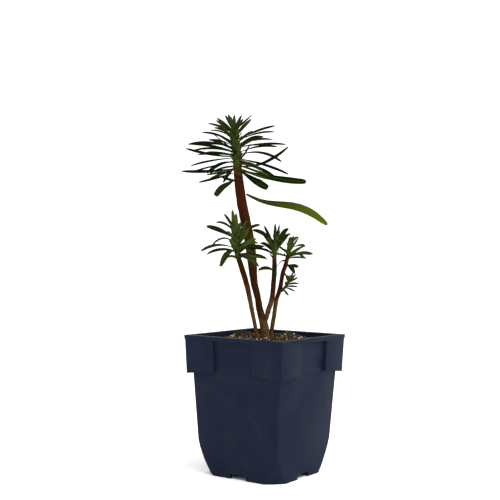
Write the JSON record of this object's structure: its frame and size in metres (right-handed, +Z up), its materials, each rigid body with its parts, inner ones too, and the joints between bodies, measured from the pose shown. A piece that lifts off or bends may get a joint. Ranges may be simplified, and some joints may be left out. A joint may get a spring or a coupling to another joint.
{
  "type": "potted euphorbia",
  "caption": "Young euphorbia with a tall leaning stem and shorter leafy side stems, growing in soil in a square tapered nursery pot with corner skirts.",
  "frame": {"origin": "the middle of the bounding box's footprint, on the surface that the pot's feet stand on", "axes": "+Z up along the pot's height; the pot's four sides face along +X, -X, +Y and -Y; the plant leans towards -X and -Y"},
  "size_m": [0.1538, 0.134, 0.4083],
  "materials": {
    "navy_plastic": "satin",
    "peat": "matte",
    "bark": "matte",
    "leaf_green": "satin",
    "young_green": "satin",
    "fading_leaf": "satin"
  },
  "bodies": {
    "root": {"broad_dark_leaf": "leaf_green", "drooping_leaf": "leaf_green", "left_leaf_01": "leaf_green", "left_leaf_02": "leaf_green", "left_leaf_03": "leaf_green", "left_leaf_04": "leaf_green", "left_leaf_05": "leaf_green", "left_leaf_06": "leaf_green", "left_leaf_07": "leaf_green", "left_stem": "bark", "left_tip": "young_green", "long_left_leaf": "leaf_green", "long_yellow_leaf": "fading_leaf", "main_leaf_01": "leaf_green", "main_leaf_02": "leaf_green", "main_leaf_03": "leaf_green", "main_leaf_04": "leaf_green", "main_leaf_05": "leaf_green", "main_leaf_06": "leaf_green", "main_leaf_07": "leaf_green", "main_leaf_08": "leaf_green", "main_leaf_09": "leaf_green", "main_leaf_10": "leaf_green", "main_leaf_11": "leaf_green", "main_leaf_12": "leaf_green", "main_leaf_13": "leaf_green", "main_leaf_14": "leaf_green", "main_leaf_15": "leaf_green", "main_leaf_16": "leaf_green", "main_leaf_17": "leaf_green", "main_leaf_18": "leaf_green", "main_leaf_19": "leaf_green", "main_leaf_20": "leaf_green", "main_leaf_21": "leaf_green", "main_leaf_22": "leaf_green", "main_leaf_23": "leaf_green", "main_leaf_24": "leaf_green", "main_leaf_25": "leaf_green", "main_leaf_26": "leaf_green", "main_stem": "bark", "main_tip": "young_green", "middle_leaf_01": "leaf_green", "middle_leaf_02": "leaf_green", "middle_leaf_03": "leaf_green", "middle_leaf_04": "leaf_green", "middle_leaf_05": "leaf_green", "middle_leaf_06": "leaf_green", "middle_stem": "bark", "middle_tip": "young_green", "pot": "navy_plastic", "right_leaf_01": "leaf_green", "right_leaf_02": "leaf_green", "right_leaf_03": "leaf_green", "right_leaf_04": "leaf_green", "right_stem": "bark", "right_tip": "young_green", "side_stem": "bark", "side_tip": "young_green", "soil": "peat", "spoon_leaf": "leaf_green"}
  },
  "joints": []
}
